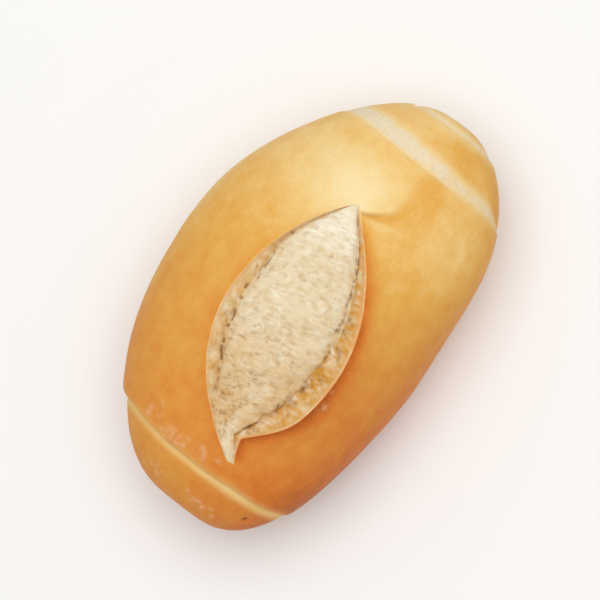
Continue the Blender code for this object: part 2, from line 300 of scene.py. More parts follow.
# %% Places across the opening
# widths of the cut edges at the tail and at the front
LEFT_CUT, RIGHT_CUT = (3.6 * MM, 2.8 * MM), (6.0 * MM, 1.2 * MM)
CUT_CLOSES = 0.92
EAR_NOSE = 1.0 * MM
LIP_FADE = 0.45
left_closes = np.maximum(smooth((t - 0.25) / 0.4), smooth((-0.4 - t) / 0.4))
right_closes = np.maximum(0.5 * smooth((t - 0.45) / 0.45), smooth((-0.62 - t) / 0.3))
cut_left = np.interp(t, (-1, 1), LEFT_CUT) * (1 - CUT_CLOSES * left_closes)
cut_left = np.minimum(cut_left, 0.4 * half_opening) / (2 * half_opening)
cut_right = np.interp(t, (-1, 1), RIGHT_CUT) * (1 - CUT_CLOSES * right_closes)
cut_right = np.minimum(cut_right, 0.45 * half_opening) / (2 * half_opening)
lift = opening * smooth((1 - np.abs(t)) / LIP_FADE)
nose = EAR_NOSE * lift * smooth((t + 0.25) / 0.5) * np.sin(math.pi * cut_across) * (1 - cut_across)
across = np.concatenate(
    [
        cut_right * cut_across + nose / (2 * half_opening),
        cut_right + (crumb_across + 1) / 2 * (1 - cut_left - cut_right),
        1 - cut_left * cut_across[::-1],
    ],
    axis=1,
)
x_inside = right_x + (left_x - right_x) * across
angle_inside = angle_at(x_inside, right_y + (left_y - right_y) * across)

# %% [markdown]
# The flanks take the remaining columns from each lip down to the middle of the underside. A column leaves
# the lip where the lip is and settles back onto its row on the way down.

# %% Places on the flanks
left_angle = angle_inside[:, -1:] + (math.pi - angle_inside[:, -1:]) * flank_across
right_angle = angle_inside[:, :1] - (math.pi + angle_inside[:, :1]) * flank_across[:-1][::-1]
settle = 1 - smooth(flank_across / 0.5)
x_left = station + (left_x - station) * settle
x_right = station + (right_x - station) * settle[:-1][::-1]
x = np.concatenate([x_right, x_inside, x_left], axis=1)
angle = np.concatenate([right_angle, angle_inside, left_angle], axis=1)

left_run = HALF_WIDTH * np.maximum(angle - angle_inside[:, -1:], 0)
right_run = HALF_WIDTH * np.maximum(angle_inside[:, :1] - angle, 0)
print("grid:", x.shape)

# %% [markdown]
# A few masks and two coordinates say where each point of the grid lies. One coordinate runs along the
# slash and one across it, both in metres, and fibres and pores are drawn with them.

# %% Masks and coordinates of the slash
column = np.arange(COLUMNS)
crumb_first = FIRST_RIGHT + CUT_COLUMNS
crumb_last = crumb_first + CRUMB_COLUMNS
in_crumb = (column >= crumb_first) & (column <= crumb_last)
in_right_cut = (column >= FIRST_RIGHT) & (column < crumb_first)
in_left_cut = (column > crumb_last) & (column <= crumb_last + CUT_COLUMNS)
in_cut = in_right_cut | in_left_cut
in_opening = in_crumb | in_cut
on_right_flank = column < FIRST_RIGHT
on_left_flank = column > crumb_last + CUT_COLUMNS
on_left = column > (crumb_first + crumb_last) / 2

crumb_place = np.zeros(COLUMNS)
crumb_place[in_crumb] = crumb_across
crumb_place[column < crumb_first] = -1
crumb_place[column > crumb_last] = 1
down_cut = np.ones(COLUMNS)
down_cut[in_right_cut] = cut_across
down_cut[in_left_cut] = cut_across[::-1]
from_x, from_y = x - SLASH_X, plain_loaf(x, angle)[..., 1] - SLASH_Y
along_slash = from_x * math.cos(SLASH_TURN) + from_y * math.sin(SLASH_TURN)
across_slash = from_y * math.cos(SLASH_TURN) - from_x * math.sin(SLASH_TURN)
band_width = np.where(column < crumb_first, cut_right, cut_left) * 2 * half_opening
crumb_half = (1 - cut_left - cut_right) * half_opening
print(f"cut edges up to {band_width.max() / MM:.1f} mm wide")

# %% [markdown]
# ## Relief of the slash
# The lips rise above the loaf, and the cut edges fall from them to a crevice on either side of the crumb.
# First comes the thickness of the crust, a short steep drop, and then the long slope of the band. At the
# tail the crevices grow shallow, because there the crumb was torn and not cut.

# %% Lips and cut edges
EAR_RISE, EAR_RUN = 1.6 * MM, 7.5 * MM
LIP_RISE, LIP_RUN = 0.7 * MM, 4.5 * MM
CREVICE_DEPTH, CRUMB_SINK = 2.1 * MM, 0.3 * MM
ear, lip = EAR_RISE * lift, LIP_RISE * lift
crevice = CREVICE_DEPTH * opening * (0.35 + 0.65 * smooth(true_half / (6 * MM)))
shallow = np.where(crumb_place > 0, smooth((-0.5 - t) / 0.3), smooth((-0.74 - t) / 0.12))
crevice = crevice * (1 - 0.8 * shallow)
fall = 0.22 * smooth(down_cut / 0.16) + 0.78 * down_cut**1.7
relief = ear * bell(right_run / EAR_RUN) * on_right_flank
relief = relief + lip * bell(left_run / LIP_RUN) * on_left_flank
relief = relief + (ear - (ear + crevice) * fall) * in_right_cut
relief = relief + (lip - (lip + crevice) * fall) * in_left_cut
print(f"ear {ear.max() / MM:.1f} mm high, crevices {crevice.max() / MM:.1f} mm deep")

# %% [markdown]
# The crumb is a pillow that swells nearly to the height of the crust. It isn't smooth: the oven tore it
# open sideways, so it is a web of stretched fibres that cross the slash, with soft lumps below and small
# holes between them. Lumps are round cells of the noise. Fibres are long thin cells, bent by a second
# noise so that they don't look combed, and folded with an absolute value, which gives sharp ridges. The
# holes are read at bent places too, so that none of them is a square cell.

# %% The torn crumb
LUMP_RISE, LUMP_CELLS = 0.40 * MM, (4 * MM, 5 * MM)
COARSE_RISE, COARSE_CELLS = 0.11 * MM, (1.1 * MM, 4.4 * MM)
FINE_RISE, FINE_CELLS = 0.10 * MM, (0.7 * MM, 2.4 * MM)
HOLE_DEPTH, HOLE_CELLS = 0.20 * MM, (1.0 * MM, 1.5 * MM)
WAVER, FINE_WAVER, DRIFT = 0.8 * MM, 0.25 * MM, 0.8 * MM
edge_gap = 1 - np.abs(crumb_place)
pillow = -CRUMB_SINK * opening - (crevice - CRUMB_SINK * opening) * np.abs(crumb_place) ** 5
calm_edge = smooth(edge_gap / 0.08) * opening * in_crumb
in_band = opening * in_cut * smooth(down_cut / 0.25)
waver = WAVER * hills((along_slash, across_slash), (6 * MM, 5 * MM), 1)
waver = waver + FINE_WAVER * hills((along_slash, across_slash), (2.4 * MM, 2.4 * MM), 18)
drift = DRIFT * hills((along_slash, across_slash), (2.3 * MM, 2.7 * MM), 17)
bent, pulled = along_slash + waver, across_slash + drift
lumps = LUMP_RISE * hills((bent, pulled), LUMP_CELLS, 2)
coarse = 1 - 2 * np.abs(hills((bent, pulled), COARSE_CELLS, 3))
fine = 1 - 2 * np.abs(hills((bent + 0.3 * drift, pulled), FINE_CELLS, 4))
fibres = COARSE_RISE * coarse + FINE_RISE * fine
holes = smooth((hills((along_slash + drift, across_slash - waver), HOLE_CELLS, 5) - 0.52) / 0.35)
relief = relief + pillow * in_crumb + calm_edge * (lumps + fibres - HOLE_DEPTH * holes)
relief = relief + 1.2 * fibres * in_band
print(f"fibres {fibres.min() / MM:.2f} to {fibres.max() / MM:.2f} mm")

# %% [markdown]
# Over the web lie the strands that were stretched most before they tore. Each is a stroke across the slash
# with a length, a width, a lean and a curl of its own, and the highest stroke wins where two cross. The
# same rule, turned downwards, makes the short slits between them, which lie closest at the lower left.
# A last set bridges the right crevice, where the crumb still hangs on to the cut edge.

# %% Strokes across the slash
STRAND_RISE, SLIT_DEPTH, BRIDGE_RISE = 0.30 * MM, 0.28 * MM, 0.55 * MM
crumb_right = off_line - half_opening + cut_right * 2 * half_opening
crumb_left = off_line + half_opening - cut_left * 2 * half_opening


def strokes(count, t_range, share_range, lengths, widths, seed):
    """Largest of exp(-(u / length)^4 - (v / width)^2) over all strokes, where u runs along a stroke and v
    beside it: v is the distance from a line that leans and curls at random."""
    rng = np.random.default_rng(seed)
    at = rng.uniform(*t_range, count)
    low, high = (np.interp(at, t_free[:, 0], edge[:, 0]) for edge in (crumb_right, crumb_left))
    middle = low + rng.uniform(*share_range, count) * (high - low)
    shapes = zip(
        at * SLASH_HALF,
        middle,
        rng.normal(-0.12, 0.24, count),
        rng.normal(0, 0.04, count) / MM,
        rng.uniform(*lengths, count) * MM,
        rng.uniform(*widths, count) * MM,
        rng.uniform(0.4, 1.0, count),
    )
    height = np.zeros_like(bent)
    for start_along, start_across, lean, curl, length, width, strength in shapes:
        along, over = bent - start_along, pulled - start_across
        u = along * math.sin(lean) + over * math.cos(lean)
        v = along * math.cos(lean) - over * math.sin(lean) - curl * u**2
        height = np.maximum(height, strength * np.exp(-((u / length) ** 4) - (v / width) ** 2))
    return height


# how many, where along the slash, where across the crumb, lengths and widths in millimetres, seed
wisps = calm_edge * strokes(320, (-0.95, 0.97), (0.0, 1.0), (0.9, 3.0), (0.18, 0.38), 31)
slits = strokes(140, (-0.88, 0.05), (0.40, 1.0), (0.4, 1.2), (0.18, 0.30), 32)
slits = np.maximum(slits, 0.7 * strokes(110, (-0.85, 0.85), (0.0, 1.0), (0.4, 1.4), (0.16, 0.28), 33))
slits = calm_edge * slits * (1 - 0.6 * wisps)
bridges = opening * in_opening * strokes(75, (-0.78, 0.45), (-0.12, 0.15), (0.6, 1.7), (0.18, 0.34), 35)
relief = relief + STRAND_RISE * wisps - SLIT_DEPTH * slits + BRIDGE_RISE * bridges
print(f"strands cover {(wisps[:, in_crumb] > 0.3).mean():.0%} of the crumb's points")

# %% [markdown]
# The crevices aren't even cuts either. The left one is a dotted line of small tears, and the right one
# is a thin shadow under the ear that opens into pores towards the tail. The cut edges themselves are
# full of pores, because the blade went through the gas cells of the dough.

# %% Crevices and pores
TEAR_DEPTH, TEAR_WIDTH = 0.7 * MM, 0.27 * MM
PORE_DEPTH, WANDER, WIDE = 0.45 * MM, 0.6 * MM, 6 * MM
BAND_LUMP_RISE, BAND_SPECK_RISE = 0.35 * MM, 0.14 * MM
breaks = hills((along_slash + 0.5 * drift, across_slash * 0), (0.9 * MM, 1.0), 6)
left_heals = smooth((t - 0.3) / 0.35) + smooth((-0.45 - t) / 0.2)
right_heals = 0.6 * smooth((t - 0.6) / 0.3) + 0.35 * smooth((0.1 - t) / 0.3) * smooth((t + 0.75) / 0.15)
broken = smooth((breaks + np.where(on_left, 0.45, 0.25)) / 0.5)
broken = broken * (1 - np.where(on_left, left_heals, right_heals))
gap_from_edge = edge_gap * crumb_half
from_crevice = np.where(in_crumb, gap_from_edge, (down_cut - 1) * band_width)
wander = WANDER * hills((along_slash, across_slash * 0), (3.0 * MM, 1.0), 16)
wide_open = smooth(true_half / WIDE)
tear = broken * wide_open * bell((from_crevice - wander) / TEAR_WIDTH) * in_opening * (1 - 0.8 * bridges)


def spots(places, centres, sizes, strengths):
    """Round hills: the largest of strength * exp(-(distance / size)^2) over all the centres."""
    height = np.zeros(places.shape[:-1])
    for centre, size, strength in zip(centres, sizes, strengths):
        height = np.maximum(height, strength * np.exp(-(((places - centre) / size) ** 2).sum(axis=-1)))
    return height


def band_pores(count, t_range, down_range, lip_side, crumb_side, size_along, size_across):
    """Pores scattered over a cut edge, from 0 at the lip to 1 at the crumb and a little beyond."""
    at = pore_rng.uniform(*t_range, count)
    lip_at, crumb_at = (np.interp(at, t_free[:, 0], edge[:, 0]) for edge in (lip_side, crumb_side))
    down = pore_rng.uniform(*down_range, count)
    centres = np.stack([at * SLASH_HALF, lip_at + down * (crumb_at - lip_at)], axis=-1)
    sizes = np.stack([pore_rng.uniform(*size_along, count), pore_rng.uniform(*size_across, count)], axis=-1)
    return spots(slash_places, centres, sizes * MM, pore_rng.uniform(0.4, 1.0, count))


pore_rng = np.random.default_rng(5)
slash_places = np.stack([along_slash, across_slash], axis=-1)
right_lip, left_lip = off_line - half_opening, off_line + half_opening
big_pores = band_pores(40, (-0.80, 0.35), (0.40, 1.40), right_lip, crumb_right, (0.30, 0.90), (0.28, 0.70))
small_pores = band_pores(60, (-0.85, 0.75), (0.2, 1.4), right_lip, crumb_right, (0.15, 0.35), (0.15, 0.35))
left_pores = band_pores(30, (-0.75, 0.75), (0.5, 1.1), left_lip, crumb_left, (0.3, 0.9), (0.16, 0.28))
all_pores = np.maximum(np.maximum(big_pores, 0.8 * small_pores), 0.7 * left_pores)
pores = all_pores * opening * in_opening * smooth(down_cut / 0.25) * (1 - 0.6 * bridges)
# the crumb beside each crevice, widest on the right, takes the band's relief and its toasted colour, which
# there is painted shade
ragged_reach = np.where(on_left, 1.4 * MM, 2.8 * MM)
ragged = smooth((1.1 * ragged_reach - gap_from_edge) / ragged_reach)
in_band = np.maximum(in_band, opening * ragged * in_crumb * smooth((0.35 - t) / 0.6))
band_lumps = hills((along_slash + drift, across_slash), (1.9 * MM, 1.5 * MM), 9) * in_band
speck_place = (along_slash + 0.5 * drift, across_slash + 0.3 * waver)
band_specks = hills(speck_place, (0.8 * MM, 0.8 * MM), 23) * in_band
relief = relief - TEAR_DEPTH * tear - PORE_DEPTH * pores
relief = relief + BAND_LUMP_RISE * band_lumps + BAND_SPECK_RISE * band_specks
print(f"relief {relief.min() / MM:.1f} to {relief.max() / MM:.1f} mm")

# %% [markdown]
# ## Laps of the rolled sheet
# At each lap the outer layer of dough ends in a soft round lip, and the next layer comes out from below
# it. Across the seam the lip falls like a quarter of an ellipse into a groove, and beyond it the next
# layer rises back to its own height. All seams sway with the angle, because nobody rolls dough up quite
# square.

# %% Laps
LAP_BEND, TIP_CALM = 8 * MM, 0.4
LAP_LEAN = 0.12 * MM
WOBBLE = 0.25 * MM
steady = smooth(half_width(station) / (TIP_CALM * HALF_WIDTH))
broad = smooth(half_width(station) / (2 * TIP_CALM * HALF_WIDTH))
beyond = {}
for name, lap in LAPS.items():
    outside = math.copysign(1, lap["station"])
    wobble = WOBBLE * hills((np.cos(angle), np.sin(angle)), (0.25, 0.25), 11 + len(beyond))
    sway = lap["sway"][0] * np.cos(angle) + lap["sway"][1] * np.sin(angle) + wobble
    x = x + steady * sway * bell((station - lap["station"]) / LAP_BEND)
    past = (station - lap["station"]) * outside + 0 * angle
    down_lip = np.clip((past + lap["lip"]) / lap["lip"], 0, 1)
    uneven = 1 + 0.25 * hills((np.cos(angle), np.sin(angle)), (0.2, 0.2), 21 + len(beyond))
    step = lap["step"] * (1 - lap["ease"] * np.maximum(-np.sin(angle), 0) ** 2 * broad)
    depth = (step + lap["groove"]) * uneven
    before = -depth * (1 - np.sqrt(1 - down_lip**2))
    after = -step - (depth - step) * bell(past / lap["reach"])
    relief = relief + np.where(past > 0, after, before)
    x = x + outside * LAP_LEAN * np.sin(math.pi * down_lip)
    beyond[name] = past
print("laps:", ", ".join(beyond))

# %% [markdown]
# ## The skin
# Under the crust the dough is never quite even. Slow swells come first. Then comes the fold: past its front
# tip the slash goes on as a crease that curves round towards the front end, and leaves a little plateau on
# its upper side. It is drawn as a line that settles exponentially, and the skin drops across it and comes
# back up slowly. Last come the tucked-in dimple at either end and a very slight ripple, whose noise is read
# in space, so that it meets itself under the loaf.

# %% Fold, swells and dimples
FOLD_X, FOLD_Y = 27.4 * MM, -3.4 * MM
FOLD_SIDE, FOLD_TURN, FOLD_CURVE = 8.6 * MM, 3.5 * MM, 1.4
FOLD_LENGTH, FOLD_DROP, FOLD_REACH = 14 * MM, 0.8 * MM, 6.5 * MM
CREASE_LENGTH, CREASE_DEPTH, CREASE_WIDTH = 7 * MM, 0.25 * MM, 0.35 * MM
DIMPLE_DEPTH, DIMPLE_REACH = 1.4 * MM, 5.5 * MM
SWELLS = ((0.3 * MM, 0.9, 2, 0.6), (0.3 * MM, 1.7, 3, 2.1), (0.2 * MM, 2.9, 1, 4.0))
RIPPLES = ((0.10 * MM, 9 * MM, 31), (0.04 * MM, 3.2 * MM, 32))
plain = plain_loaf(x, angle)
plain_x, plain_y = plain[..., 0], plain[..., 1]
fold_past = np.maximum(plain_x - FOLD_X, 0)
fold_turned = (fold_past / FOLD_TURN) ** FOLD_CURVE
fold_line = FOLD_Y - FOLD_SIDE * (1 - np.exp(-fold_turned))
fold_slope = FOLD_SIDE * FOLD_CURVE * fold_turned * np.exp(-fold_turned) / np.maximum(fold_past, 0.1 * MM)
below_fold = (fold_line - plain_y) / np.hypot(1, fold_slope)
fold_reach = 1.2 * MM + FOLD_REACH * smooth(fold_past / (8 * MM))
fold = smooth(0.5 + below_fold / (0.6 * MM + 0.4 * fold_past))
fold_mask = smooth(fold_past / (1.2 * MM)) * (plain[..., 2] > BELLY_HEIGHT)
fold = fold * bell(np.maximum(below_fold, 0) / fold_reach) * fold_mask
crease = bell(below_fold / CREASE_WIDTH) * fold_mask * (1 - smooth(fold_past / CREASE_LENGTH))
size = half_width(x)
swell = sum(h * np.sin(2 * math.pi * n * x / LENGTH + m * angle + s) for h, n, m, s in SWELLS)
form = relief - FOLD_DROP * fold * (1 - smooth((fold_past / FOLD_LENGTH - 0.3) / 0.7))
form = form + swell * (size / HALF_WIDTH) ** 2 - DIMPLE_DEPTH * bell(size / DIMPLE_REACH)
skin = (~in_opening | (opening < 0.05)) * 1.0


def in_space(cell, seed):
    """Random heights with round cells of one size, read at the plain loaf's points."""
    return hills((plain_x, plain_y, plain[..., 2]), (cell,) * 3, seed)


ripple = sum(height * in_space(cell, seed) for height, cell, seed in RIPPLES)
relief = form + (ripple - CREASE_DEPTH * crease) * skin
print(f"fold {FOLD_DROP * fold.max() / MM:.1f} mm deep, ripple up to {ripple.max() / MM:.2f} mm")

# %% [markdown]
# Where steam wets the dough, the skin rises in small blisters. They sit in three places: on the loaf along
# the back seam, on the cap behind it, and beside the lower part of the ear. Each is a small hill on the
# surface, with a random size, and noise nudges it out of round. The cap also has one pinhole, where a gas
# bubble burst.

# %% Blisters and a pinhole
BLISTER_PATCHES = (
    # how many, middle x, middle y, spread along x, spread along y (millimetres)
    (15, -49.3, 1.0, 0.9, 1.7),
    (14, -49.4, 4.0, 1.0, 3.4),
    (12, -48.2, -7.0, 1.0, 2.4),
    (8, -46.5, 10.5, 0.9, 2.2),
    (16, -61.3, -12.0, 0.8, 3.6),
    (9, -60.5, 1.5, 0.9, 1.6),
    (6, -18.5, -26.2, 2.2, 0.6),
)
BLISTER_RISE, BLISTER_NUDGE = 0.30 * MM, 0.3 * MM
PINHOLE_X, PINHOLE_Y, PINHOLE_REACH, PINHOLE_DEPTH = -57.0, -25.9, 0.7 * MM, 0.5 * MM
blister_rng = np.random.default_rng(12)


def on_crown(x_mm, y_mm):
    """Point of the plain loaf's upper half above a place given in millimetres."""
    return plain_loaf(x_mm * MM, angle_at(x_mm * MM, y_mm * MM))


blister = np.zeros_like(x)
nudges = [hills((plain_x, plain_y), (0.9 * MM, 0.9 * MM), seed) for seed in (51, 52, 53)]
nudged = plain + BLISTER_NUDGE * np.stack(nudges, axis=-1)
for count, mid_x, mid_y, reach_x, reach_y in BLISTER_PATCHES:
    centres = on_crown(blister_rng.normal(mid_x, reach_x, count), blister_rng.normal(mid_y, reach_y, count))
    radius = blister_rng.uniform(0.35, 0.85, count)
    blister = np.maximum(blister, spots(nudged, centres, radius * MM, radius))
blister = blister * skin
pinhole = spots(plain, [on_crown(PINHOLE_X, PINHOLE_Y)], [PINHOLE_REACH], [1.0])
relief = relief + BLISTER_RISE * blister - PINHOLE_DEPTH * pinhole
print(f"{sum(row[0] for row in BLISTER_PATCHES)} blisters")

# %% [markdown]
# The relief is laid on along the normals. Then the tray does its work: what would hang below it is pressed
# flat, with a soft edge, and the whole surface is fitted to the frame's box.

# %% Points of the surface
PRESS = 0.5 * MM


def pressed(points):
    """Heights above the press stay; below it z becomes (z + press)^2 / (4 press), down to 0."""
    z = points[..., 2:]
    flat = np.maximum(z + PRESS, 0) ** 2 / (4 * PRESS)
    return np.concatenate([points[..., :2], np.where(z > PRESS, z, flat)], axis=-1)


normal = outward(x, angle)
formed = pressed(plain + normal * form[..., None])
lowest, highest = formed.reshape(-1, 3).min(axis=0), formed.reshape(-1, 3).max(axis=0)
origin = np.array([(lowest[0] + highest[0]) / 2, (lowest[1] + highest[1]) / 2, 0])
fit = np.array([LENGTH, WIDTH, HEIGHT]) / np.array([*(highest - lowest)[:2], highest[2]])
surface = (pressed(plain + normal * relief[..., None]) - origin) * fit
print("fit to the frame:", np.round(fit, 4))

# %% [markdown]
# ## Baking
# How brown the crust gets depends on where it lay in the oven and how thin the skin is, and the same
# number also carries painted light and shade. It is palest on the front of the crown, partly from browning
# and partly as a painted highlight on the raised front end, with stronger painted highlights on the plateau
# and round the slash's front tip. It gets deeper towards the back end, and darker low down towards the
# tray, partly from browning and partly as painted shade. The right flank and the right edge are darker as
# painted shade, and so is the skin below the fold. Everything that depends on the angle is the same at both
# sides of the middle of the underside, and fades towards the tips, so the colour shows no seam there. The
# numbers are shares of the scale from straw at 0 to brown at 1.

# %% Browning, painted light and painted shade by place
def patch(x_mm, y_mm, reach_x, reach_y):
    """A bell round a place on the plain loaf, all in millimetres."""
    return bell(np.hypot((plain_x / MM - x_mm) / reach_x, (plain_y / MM - y_mm) / reach_y))


across_share = surface[..., 1] / HALF_WIDTH
along_share = surface[..., 0] / HALF_LENGTH
up_share = surface[..., 2] / HEIGHT
# painted highlights: paler on the crown's plateau and round the slash's front tip, where the crown faces the
# light
plateau_highlight = patch(31, 5, 14, 17)
tip_highlight = patch(31, -1, 7.5, 7.5)
# darker low down towards the tray: partly real browning, partly painted shade on the lower flanks
low = smooth((0.70 - up_share) / 0.5)
on_top = smooth((up_share - 0.45) / 0.35)
off_tip = smooth(half_width(station) / (0.6 * HALF_WIDTH) - 0.15)
# painted shade on the right flank, away from its tips
right_flank_shade = smooth((-angle - 0.8) / 0.7) * smooth((angle + math.pi) / 0.8) * off_tip
# browner towards the back end, partly real browning and partly painted light on the raised front end; the
# right side is darker towards the back as painted shade
browning_and_lighting = 0.43 - 0.27 * along_share + 0.15 * smooth(-across_share) * smooth(0.5 - along_share)
browning_and_lighting = browning_and_lighting + low * (0.11 - 0.05 * np.clip(across_share / 0.3, -1, 1)) + 0.12 * right_flank_shade * (1 - 0.6 * low)
# painted shade darkens the right edge, and the left edge is made lighter
right_edge_shade = 0.10 * smooth((along_share + 0.25) / 0.5) - 0.03
browning_and_lighting = browning_and_lighting + np.where(across_share < 0, right_edge_shade, -0.10) * smooth((np.abs(across_share) - 0.75) / 0.25)
# painted shade: browner below the fold's step; the painted highlights are weaker there and lie only high on
# the crown
browning_and_lighting = browning_and_lighting + 0.14 * fold - (0.18 * plateau_highlight * (1 - 0.6 * fold) + 0.16 * tip_highlight * (1 - fold)) * on_top
browning_and_lighting = browning_and_lighting + 0.05 * in_space(16 * MM, 41) + 0.03 * in_space(2.4 * MM, 43)

# %% [markdown]
# The thin edge of the ear catches the most heat. The caps beyond the laps have tones of their own: the
# back one is a little lighter than the body beside it, and the front one a little browner.

# %% Browning of the ear and the laps
EAR_HEAT, LIP_HEAT, SEAM_WIDTH = 3.4 * MM, 2.5 * MM, 1.8 * MM
beside_slash = opening * smooth((1 - np.abs(t)) / 0.06)
browning_and_lighting = browning_and_lighting + 0.40 * np.exp(-((right_run / EAR_HEAT) ** 1.5)) * on_right_flank * beside_slash
browning_and_lighting = browning_and_lighting + 0.08 * bell(left_run / LIP_HEAT) * on_left_flank * beside_slash
browning_and_lighting = browning_and_lighting - 0.08 * smooth((beyond["back"] - 2 * MM) / (3 * MM))
browning_and_lighting = browning_and_lighting + 0.07 * bell((beyond["front"] + 4 * MM) / (4 * MM))
browning_and_lighting = browning_and_lighting + (0.09 + 0.06 * smooth(-np.sin(angle)) * off_tip) * smooth(beyond["front"] / (1 * MM))
seam_line = bell((beyond["back"] - 0.9 * MM) / SEAM_WIDTH)
core_line = bell((beyond["core"] - 0.7 * MM) / SEAM_WIDTH)
browning_and_lighting = browning_and_lighting + (0.30 - browning_and_lighting) * 0.85 * seam_line
print(f"bake {browning_and_lighting.min():.2f} to {browning_and_lighting.max():.2f}")

# %% [markdown]
# Where two layers slid apart, the dough was covered while the crust set, and stays pale. At the front that
# is a broad stripe on the crown, which narrows down both flanks and underneath. At the back and round the
# core it is only a line.

# %% Pale dough of the laps
BAND_WIDTH, BAND_WAVER, BAND_LEAST = 6.3 * MM, 0.5 * MM, 0.5 * MM
around_loaf = (np.cos(angle), np.sin(angle))
narrowing = 1 - 0.22 * smooth(0.3 - angle) - 0.73 * smooth((-angle - 0.9) / 0.9)
narrowing = narrowing - 0.5 * smooth((angle - 1.1) / 1.2) - 0.45 * smooth((angle - 2.3) / 0.8)
band_end = BAND_WIDTH * narrowing + BAND_WAVER * hills(around_loaf, (0.18, 0.18), 33)
band_end = np.maximum(band_end, BAND_LEAST)
band_start = smooth((beyond["front"] + 1.1 * MM) / (2.6 * MM))
pale = band_start * (1 - smooth((beyond["front"] / band_end - 0.62) / 0.65))
pale = pale * (1 - 0.15 * smooth(0.15 - np.sin(angle)))
pale = np.maximum(pale, 0.64 * seam_line * (0.7 + 0.3 * hills(around_loaf, (0.3, 0.3), 34)))
pale = np.maximum(pale, 0.86 * core_line)
pale = pale * (0.88 + 0.12 * in_space(1.3 * MM, 42))
print(f"pale {pale.min():.2f} to {pale.max():.2f}")

# %% [markdown]
# The crumb has its own colours, and painted light and shade besides. Raised fibres, strands and bridges of
# the web are painted nearly white as a painted highlight, and the slits between them are painted darker as
# painted shade. The crumb is whitest at both tips of the slash, where it tore last, and between them it is
# warmer. The bands beside it are toasted, and the crumb next to each crevice, most of all low on the right,
# takes on their toasted colour as painted shade. The rim of the crust on the right is a little browner
# again. Tears, pores, slits, holes, the pinhole and the crease are painted deep brown as painted shade,
# because little light comes back out of them.

# %% Tints, painted highlights and painted shade of the crumb
RIM_WIDTH, RIM_FADE = 0.2 * MM, 0.5 * MM
near_tip = smooth((t - 0.45) / 0.4)
near_tail = smooth((-0.76 - t) / 0.14)
# whiteness of the web with a painted highlight on raised fibres, strands and bridges, and painted shade in
# the slits
strand_and_highlight = 0.14 + 0.16 * coarse + 0.14 * fine + 0.60 * np.maximum(wisps, bridges) - 0.5 * slits
strand_and_highlight = np.clip(strand_and_highlight + 0.75 * near_tip + 0.5 * near_tail, 0, 2)
strand_and_highlight = strand_and_highlight * opening * in_opening * (1 - 0.5 * in_cut * (1 - bridges))
warm = smooth(hills((bent, pulled), (6 * MM, 7 * MM), 19))
low_left = smooth((0.1 - t) / 0.9) * smooth((0.3 + crumb_place) / 0.6)
low_right = smooth((0.15 - t) / 0.7) * smooth((0.2 - crumb_place) / 0.9)
# toasted colour of the crumb, partly real and partly painted shade low on the right
toast_and_shade = (0.05 + 0.12 * warm + 0.48 * low_left + 0.44 * low_right) * (1 - 0.9 * near_tip) * in_crumb
toast_and_shade = toast_and_shade * smooth((t + 1.02) / 0.3)
golden_and_shaded = np.maximum(in_band, opening * in_cut * smooth(down_cut / 0.08)) * np.where(on_left, 0.65, 1.0)
golden_and_shaded = golden_and_shaded * (0.74 + 0.25 * band_lumps + 0.45 * band_specks - 0.40 * bridges)
toast_and_shade = np.clip(np.maximum(toast_and_shade, golden_and_shaded), 0, 1)
rim = in_cut * (1 - smooth((down_cut * band_width - RIM_WIDTH) / RIM_FADE)) * np.where(on_left, 0.6, 1.0)
uneven = 0.48 * hills((along_slash + drift,), (1.6 * MM,), 20) + 0.36 * hills((along_slash,), (0.7 * MM,), 24)
rim = rim * opening * np.clip(0.45 + uneven, 0, 1)
# painted shade: deep brown in tears, pores, slits, holes, the pinhole and the crease
painted_shade = np.where(on_left, 0.95, 0.8) * tear + 0.85 * pores + (0.34 + 0.36 * low_left) * slits
painted_shade = np.clip(painted_shade + 0.18 * holes * calm_edge + 0.9 * pinhole + 0.35 * crease * skin, 0, 1)
print(f"strand up to {strand_and_highlight.max():.2f}, dark up to {painted_shade.max():.2f}")

# %% [markdown]
# ## The mesh
# Rows and columns become quads, the last column joins the first, and a fan of triangles closes each tip.
# The attributes ride on the points: the materials read them.

# %% Build the roll's mesh
def grid_faces(rows, columns):
    """Corner numbers of the quads between neighbouring rows, closed round the columns, wound outwards."""
    i, j = np.meshgrid(np.arange(rows - 1), np.arange(columns), indexing="ij")
    here = i * columns + j
    beside = i * columns + (j + 1) % columns
    return np.stack([here, here + columns, beside + columns, beside], axis=-1)


def make_mesh(name, points, faces):
    """One smooth mesh object from an array of points and a list of faces."""
    mesh = bpy.data.meshes.new(name)
    mesh.from_pydata(points, [], faces)
    mesh.validate()
    mesh.shade_smooth()
    made = bpy.data.objects.new(name, mesh)
    scene.collection.objects.link(made)
    return made


def put_attribute(mesh, name, values, kind, field):
    """A number or a vector for every point. Each tip takes the mean of the row next to it."""
    at_tips = np.stack([values[0].mean(axis=0), values[-1].mean(axis=0)])
    whole = np.concatenate([values.reshape(-1, *values.shape[2:]), at_tips])
    mesh.attributes.new(name, kind, "POINT").data.foreach_set(field, whole.astype(np.float32).ravel())


